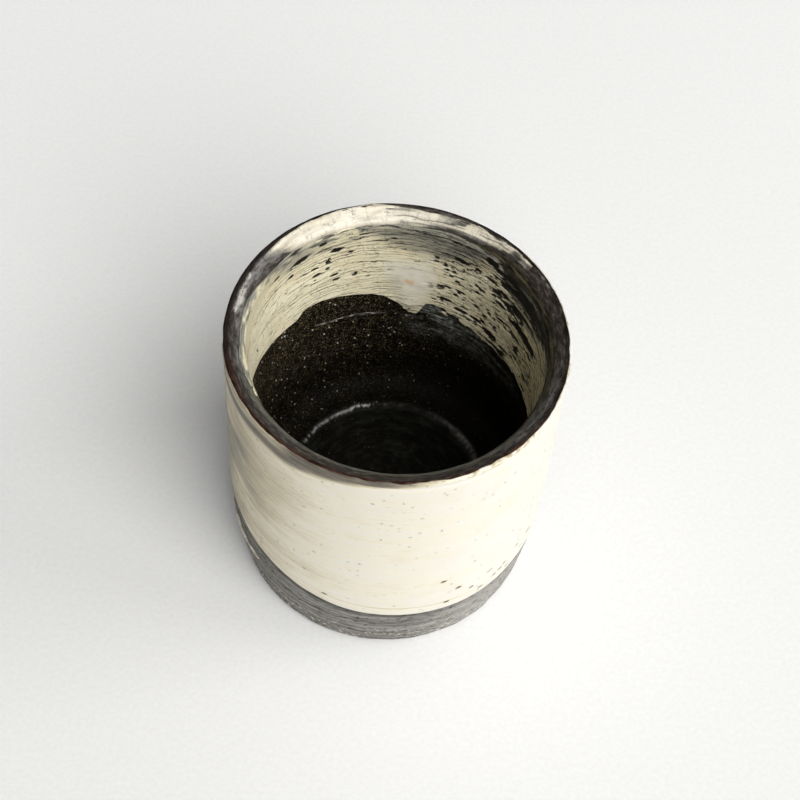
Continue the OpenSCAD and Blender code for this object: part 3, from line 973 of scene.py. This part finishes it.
INNER_STOPS = [(0.0, (16, 14, 10)), (0.22, (44, 42, 36)), (0.42, (142, 141, 130)), (0.62, (203, 195, 166)),
               (0.82, (243, 233, 200)), (1.0, (253, 246, 219))]
# The last outer stop, used mostly at the lit right, is painted light: paler and less yellow than the slip
OUTER_STOPS = [(0.0, (40, 32, 26)), (0.3, (96, 88, 76)), (0.5, (156, 148, 130)), (0.7, (206, 195, 165)),
               (0.88, (236, 229, 209)), (1.0, (233, 230, 222))]
LIP_STOPS = [(0.0, (30, 24, 20)), (0.25, (74, 70, 64)), (0.5, (144, 141, 132)), (0.7, (200, 192, 172)),
             (0.9, (228, 220, 200)), (1.0, (238, 231, 214))]
INNER_BRUSH = {"stops": INNER_STOPS, "combing": 0.74, "warmth": 0.25, "grain": 0.08, "dashes": 0.34}
OUTER_BRUSH = {"stops": OUTER_STOPS, "combing": 0.06, "warmth": 0.1, "grain": 0.05, "dashes": 0.09}
LIP_BRUSH = {"stops": LIP_STOPS, "combing": 0.05, "warmth": 0.35, "grain": 0.08, "dashes": 0.0}
STROKE_BRUSH = {"stops": LIP_STOPS, "combing": 0.2, "warmth": 0.0, "grain": 0.08, "dashes": 0.0}
BUMP_STRENGTH = 0.6


def new_material(name, roughness, coat, coat_roughness, specular=0.5):
    material = bpy.data.materials.new(name)
    material.use_nodes = True
    shader = material.node_tree.nodes["Principled BSDF"]
    shader.inputs["Roughness"].default_value = roughness
    shader.inputs["Specular IOR Level"].default_value = specular
    shader.inputs["Coat Weight"].default_value = coat
    shader.inputs["Coat Roughness"].default_value = coat_roughness
    return material, material.node_tree, shader


def connect(tree, shader, colour, roughness, height, depth):
    """Links colour, roughness if there is one, and a relief of that depth in mm to the shader."""
    give(tree, shader.inputs["Base Color"], colour)
    if roughness is not None:
        give(tree, shader.inputs["Roughness"], roughness)
    inputs = {"Height": height, "Distance": depth * MM, "Strength": BUMP_STRENGTH}
    give(tree, shader.inputs["Normal"], result(tree, "Bump", "Normal", inputs))


def slip_colour(tree, combed, stops, combing, warmth, grain, dashes):
    """Slip over dark clay: cream where thick, grey where thin, with uneven hair lines along the brush."""
    lines = comb(tree, 1.03, 0.19).maths("MAXIMUM", comb(tree, 0.61, 0.18) * 0.55)
    uneven = streak_noise(tree, 0.14, 0.9, 4.0).fit(0.35, 0.62, 0.15 * combing, combing)
    worn = attribute(tree, "cover") - lines * uneven * combed
    worn = worn + streak_noise(tree, 0.25, 3.4, 4.0, 0.6).fit(0.3, 0.7, -grain, grain)
    if dashes:
        worn = worn - streak_noise(tree, 0.45, 2.6, 3.0, 0.6).fit(0.6, 0.7, 0.0, dashes) * combed
    tears = streak_noise(tree, 0.4, 1.7, 4.0, 0.7).fit(0.54, 0.64, 0.0, 0.85)
    worn = worn - tears * attribute(tree, "torn")
    warm = soft_noise(tree, 0.16).fit(0.5, 0.75) * warmth
    return warm.blend(worn.ramp(stops), (226, 208, 168), "MULTIPLY"), worn


def slip_material(name, brush, roughness, coat, combed=False, cracks=0.0, specks=0.0):
    """Slip that shines where it is thick, with fine cracks or grey specks where their strength is given."""
    material, tree, shader = new_material(name, roughness, coat, 0.2)
    colour, worn = slip_colour(tree, attribute(tree, "combed") if combed else 1.0, **brush)
    if cracks:
        faint = soft_noise(tree, 0.7, 4.0).fit(0.4, 0.64, 0.0, cracks)
        drawn = crack_edges(tree).fit(0.006, 0.045, 1.0, 0.0) * faint
        colour = drawn.blend(colour, (84, 70, 54))
    if specks:
        close, hue = cells(tree, 1.7, 1.7)
        close = close + soft_noise(tree, 1.2, 4.0, 0.7).fit(0.3, 0.7, -0.1, 0.14)
        grey = close.fit(0.08, 0.26, specks, 0.0) * random_part(hue, 0, 0.35, 1.0)
        colour = grey.blend(colour, (120, 116, 106))
    give(tree, shader.inputs["Coat Weight"], worn.fit(0.5, 0.85, 0.0, coat))
    relief = streak_noise(tree, 0.1, 2.2, 4.0, 0.6)
    connect(tree, shader, colour, worn.fit(0.1, 0.9, 0.5, roughness), relief, 0.05)
    return material


def run_material():
    """Milky glaze that lets the slip show at its edges, with one small rust stain."""
    material, tree, shader = new_material("milky_glaze", 0.3, 0.4, 0.15)
    under, _ = slip_colour(tree, attribute(tree, "combed"), **INNER_BRUSH)
    cloud = soft_noise(tree, 0.4, 4.0, 0.6)
    milk = cloud.ramp([(0.3, (230, 228, 217)), (0.5, (244, 240, 225)), (0.7, (252, 248, 233))])
    colour = (attribute(tree, "milk") * cloud.fit(0.25, 0.6, 0.75, 1.0)).blend(under, milk)
    a = math.radians(STAIN_AT)
    inputs = {0: places(tree, 1.0, 1.0), 1: (MOUTH_R * math.cos(a), MOUTH_R * math.sin(a), STAIN_Z)}
    away = result(tree, "VectorMath", "Value", inputs, operation="DISTANCE")
    rust = away + soft_noise(tree, 0.6).fit(0.3, 0.7, -0.25, 0.25)
    colour = rust.fit(0.3, 1.7, 0.9, 0.0).blend(colour, (220, 164, 72))
    connect(tree, shader, colour, None, cloud, 0.04)
    return material


def inner_clay(tree):
    """Colour of the inner wall and floor, black with mica, thin slip and a painted highlight round the floor's
    well, and its sand, painted fainter where the wall is in shade.
    """
    # sandy carries real sand and painted shade: the specks fade where the wall is in shade
    sandy = attribute(tree, "sandy")
    grain, hue = cells(tree, 0.24, 0.34)
    speck = grain.fit(0.2, 0.6, 1.0, 0.0) * random_part(hue, 0, 0.1, 1.0)
    speck = speck * soft_noise(tree, 0.8, 5.0, 0.75).fit(0.36, 0.62, 0.25, 1.3) * sandy
    mica, hue = cells(tree, 0.7, 1.0)
    flake = mica.fit(0.15, 0.3, 1.0, 0.0) * random_part(hue, 1, 0.8, 0.96) * sandy
    black = soft_noise(tree, 0.2).ramp([(0.3, (7, 6, 4)), (0.7, (14, 12, 9))])
    wall = flake.blend(speck.blend(black, (142, 128, 98)), (244, 238, 226))
    brushed = streak_noise(tree, 0.2, 2.0, 4.0, 0.65).fit(0.36, 0.62)
    wisps = brushed * soft_noise(tree, 1.1, 5.0, 0.7).fit(0.38, 0.6, 0.15, 1.0)
    wall = (attribute(tree, "veil") * wisps).blend(wall, (186, 190, 186))
    turned = streak_noise(tree, 0.12, 0.9, 4.0, 0.65)
    floor = turned.ramp([(0.34, (8, 8, 6)), (0.5, (20, 21, 17)), (0.66, (42, 43, 38))])
    wall = (attribute(tree, "floor") * 0.75).blend(wall, floor)
    # The pale grey on the ring round the floor is a painted highlight
    return attribute(tree, "ring").blend(wall, (214, 215, 214)), speck


def lip_clay(tree):
    """Colour of the lip: brown, olive inside the front, dark olive streaks with painted shade at the right,
    with dabs and a dark edge.
    """
    mottle = streak_noise(tree, 0.45, 1.5, 6.0, 0.75)
    brown = mottle.ramp([(0.34, (22, 18, 16)), (0.5, (56, 50, 45)), (0.66, (108, 102, 95))])
    olive = mottle.ramp([(0.32, (70, 70, 61)), (0.5, (100, 100, 90)), (0.68, (130, 130, 120))])
    lip = attribute(tree, "inner_lip").blend(brown, olive)
    streaked = streak_noise(tree, 0.3, 1.6, 5.0, 0.7).fit(0.42, 0.64)
    # Inside the lip at the right: dark olive streaks, partly painted shade
    lip = attribute(tree, "shaded_lip").blend(lip, streaked.blend((16, 14, 9), (98, 91, 68)))
    dabbed = streak_noise(tree, 0.6, 1.4, 5.0, 0.75).fit(0.38, 0.58, 0.05, 1.0)
    lip = (attribute(tree, "haze") * dabbed).blend(lip, (126, 123, 120))
    lip = (attribute(tree, "dab") * dabbed).blend(lip, (196, 194, 186))
    red = mottle.ramp([(0.35, (36, 20, 16)), (0.65, (84, 52, 42))])
    dark = mottle.ramp([(0.35, (14, 11, 10)), (0.65, (46, 38, 34))])
    return attribute(tree, "edge").blend(lip, attribute(tree, "front").blend(dark, red))


def bare_clay(tree):
    """Colour and relief of the foot: grey with dark turning lines and pale grains, painted paler at the lit
    right, with painted shade under the slip's edge and a brown lower edge painted as the shade of the bevel.
    """
    trimmed = streak_noise(tree, 0.05, 1.8, 5.0, 0.7)
    grey = trimmed.ramp([(0.32, (84, 82, 78)), (0.5, (136, 134, 129)), (0.68, (180, 177, 171))])
    # Painted light: the foot is painted paler at its lit right side
    grey = (attribute(tree, "pale") * 0.32).blend(grey, (214, 212, 206))
    pits = streak_noise(tree, 0.7, 1.5, 5.0, 0.75).fit(0.52, 0.66)
    grey = (pits * 0.75).blend(grey, (44, 41, 38))
    grain, hue = cells(tree, 1.1, 0.7)
    grain = grain + soft_noise(tree, 1.6, 4.0, 0.7).fit(0.3, 0.7, -0.22, 0.3)
    chip = grain.fit(0.2, 0.42, 1.0, 0.0) * random_part(hue, 2, 0.2, 0.7)
    height = height_mm(tree)
    grey = (chip * height.fit(2.0, 9.0, 1.0, 0.05)).blend(grey, (226, 220, 208))
    # Painted shade on the foot just under the slip's edge
    grey = (attribute(tree, "shadowed") * 0.7).blend(grey, (54, 52, 50))
    # The brown along the bottom edge is painted shade on the bevel
    return height.fit(0.2, 1.2, 0.85, 0.0).blend(grey, (50, 38, 32)), trimmed - pits * 0.4


def clay_material():
    """Dark sandy clay: satin under glaze inside, matte grey on the bare foot, brown along the lip."""
    material, tree, shader = new_material("dark_clay", 0.6, 0.0, 0.3, 0.06)
    glazed = attribute(tree, "glazed")
    lip = attribute(tree, "lip")
    wall_colour, speck = inner_clay(tree)
    inside_colour = lip.blend(wall_colour, lip_clay(tree))
    bare_colour, trimmed = bare_clay(tree)
    colour = lip.blend(glazed.blend(bare_colour, inside_colour), inside_colour)
    shine = (lip * 0.35 - attribute(tree, "edge")).maths("MAXIMUM", attribute(tree, "ring"))
    give(tree, shader.inputs["Coat Weight"], shine.maths("MAXIMUM", attribute(tree, "floor") * 0.05))
    relief = soft_noise(tree, 2.2) + speck * 0.4 + trimmed * glazed.fit(0.0, 1.0, 4.0, 0.0)
    connect(tree, shader, colour, glazed.fit(0.0, 1.0, 0.9, 0.6), relief, 0.05)
    return material


# The cup

FOOT_STROKE = {"wall": wall_r, "side": 1, "lift": 0.3, "tall": 1.5, "thick": 0.2,
               "covers": (0.7, 1.0), "seed": 71}
INNER_STROKE = {"wall": inner_r, "side": -1, "lift": 0.0, "tall": 0.6, "thick": 0.08,
                "covers": (0.03, 0.5), "seed": 73}

clay = make_clay()
outer_slip = make_outer_slip()
inner_slip = make_inner_slip()
lip_slip = make_lip_slip()
run = make_run()
foot_stroke = make_stroke("foot_streak_1", -156, 15, 12.9, -0.8, **FOOT_STROKE)
long_stroke = make_stroke("inner_streak_1", 107, 12, 33.7, 0.2, **INNER_STROKE)
short_stroke = make_stroke("inner_streak_2", 123, 5, 34.0, 0.5, **INNER_STROKE)

inner_look = slip_material("inner_slip", INNER_BRUSH, 0.5, 0.25, combed=True, cracks=0.5)
stroke_look = slip_material("stroke_slip", STROKE_BRUSH, 0.6, 0.1)
outer_look = slip_material("outer_slip", OUTER_BRUSH, 0.6, 0.08, specks=0.5)
lip_look = slip_material("lip_slip", LIP_BRUSH, 0.4, 0.35, cracks=0.55)
looks = [
    (clay, clay_material(), "clay", ["clay_body"]),
    (outer_slip, outer_look, "outer_slip", ["outer_slip"]),
    (inner_slip, inner_look, "inner_slip", ["inner_slip"]),
    (lip_slip, lip_look, "lip_slip", ["lip_slip"]),
    (run, run_material(), "glaze", ["glaze_run"]),
    (foot_stroke, stroke_look, "stroke", ["foot_stroke"]),
    (long_stroke, stroke_look, "stroke", ["inner_stroke"]),
    (short_stroke, stroke_look, "stroke", ["inner_stroke"]),
]
for piece, look, slot, nodes in looks:
    piece.data.materials.append(look)
    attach(piece, "root")
    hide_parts(*nodes)


# Stage, light and camera; the sizes and places of table and lights are in metres

FLOOR_HALF = 6.0
LIT_POINT = (0.0, 0.0, 0.03)
WINDOW_AT = (0.335, -0.579, 0.743)
WINDOW_SPREAD = math.radians(50)
WINDOW_LEVEL = 2.63
NEAR_WINDOW_AT = (0.6, 0.0, 0.5)
NEAR_WINDOW_SIZE = 0.35
NEAR_WINDOW_POWER = 1.5
WINDOW_COLOUR = (1.0, 0.995, 0.98)
ROOM_COLOUR = (0.98, 0.99, 1.0)
ROOM_LEFT = 0.07
ROOM_RIGHT = 0.5
ROOM_TOP = 0.7
BACKDROP = (0.95, 0.95, 0.94)

# The camera stands in front and above, tipped down and rolled a little
CAMERA_BACK = 171.8
CAMERA_UP = 303.3
CAMERA_PAN = math.radians(0.462)
CAMERA_TILT = math.radians(56.643)
CAMERA_ROLL = math.radians(4.724)
CAMERA_LENS = 77.3
CAMERA_NEAR = 10.0
SENSOR = 36.0


def make_floor():
    mesh = bpy.data.meshes.new("floor")
    corners = [(x * FLOOR_HALF, y * FLOOR_HALF, 0) for x, y in ((-1, -1), (1, -1), (1, 1), (-1, 1))]
    mesh.from_pydata(corners, [], [(0, 1, 2, 3)])
    floor = link("floor", mesh)
    material, tree, shader = new_material("pale_table", 0.8, 0.0, 0.1, 0.0)
    paper = soft_noise(tree, 1.2, 4.0)
    connect(tree, shader, paper.ramp([(0.3, (244, 244, 243)), (0.7, (250, 250, 249))]), None, paper, 0.06)
    mesh.materials.append(material)


def place_light(name, data, place):
    """A light of the window's colour that points at the cup."""
    data.color = WINDOW_COLOUR
    light = link(name, data)
    light.location = place
    light.rotation_euler = (Vector(LIT_POINT) - Vector(place)).to_track_quat("-Z", "Y").to_euler()


def make_lights():
    """A broad distant window at the front right, and a smaller one near the cup at the right."""
    far = bpy.data.lights.new("window", "SUN")
    far.energy = WINDOW_LEVEL
    far.angle = WINDOW_SPREAD
    place_light("window", far, WINDOW_AT)
    close = bpy.data.lights.new("near_window", "AREA")
    close.size = NEAR_WINDOW_SIZE
    close.energy = NEAR_WINDOW_POWER
    place_light("near_window", close, NEAR_WINDOW_AT)


def make_world():
    """A room that is brighter at the right and dim overhead, and that the camera sees as white."""
    world = bpy.data.worlds.new("soft_room")
    world.use_nodes = True
    tree = world.node_tree
    across, _, up = parts(result(tree, "TexCoord", "Generated"))
    level = across.fit(-0.4, 1.0, ROOM_LEFT, ROOM_RIGHT) * up.fit(0.2, 0.9, 1.0, ROOM_TOP)
    room = tree.nodes["Background"]
    give(tree, room.inputs["Color"], ROOM_COLOUR)
    give(tree, room.inputs["Strength"], level)
    white = result(tree, "Background", 0, {"Color": BACKDROP, "Strength": 1.0})
    seen = result(tree, "LightPath", "Is Camera Ray")
    chosen = result(tree, "MixShader", 0, {0: seen, 1: Value(tree, room.outputs[0]), 2: white})
    give(tree, tree.nodes["World Output"].inputs["Surface"], chosen)
    bpy.context.scene.world = world


def make_camera():
    forward = Vector((math.sin(CAMERA_PAN) * math.cos(CAMERA_TILT),
                      math.cos(CAMERA_PAN) * math.cos(CAMERA_TILT), -math.sin(CAMERA_TILT)))
    right = Vector((math.cos(CAMERA_PAN), -math.sin(CAMERA_PAN), 0.0))
    up = right.cross(forward)
    x = math.cos(CAMERA_ROLL) * right + math.sin(CAMERA_ROLL) * up
    y = math.cos(CAMERA_ROLL) * up - math.sin(CAMERA_ROLL) * right
    turned = Matrix((x, y, -forward)).transposed().to_4x4()
    data = bpy.data.cameras.new("camera")
    data.lens = CAMERA_LENS
    data.sensor_width = SENSOR
    data.sensor_fit = "HORIZONTAL"
    data.clip_start = CAMERA_NEAR * MM
    camera = link("camera", data)
    camera.matrix_world = Matrix.Translation(Vector((0.0, -CAMERA_BACK, CAMERA_UP)) * MM) @ turned
    bpy.context.scene.camera = camera


make_floor()
make_lights()
make_world()
make_camera()
bpy.context.scene.view_settings.view_transform = "Standard"
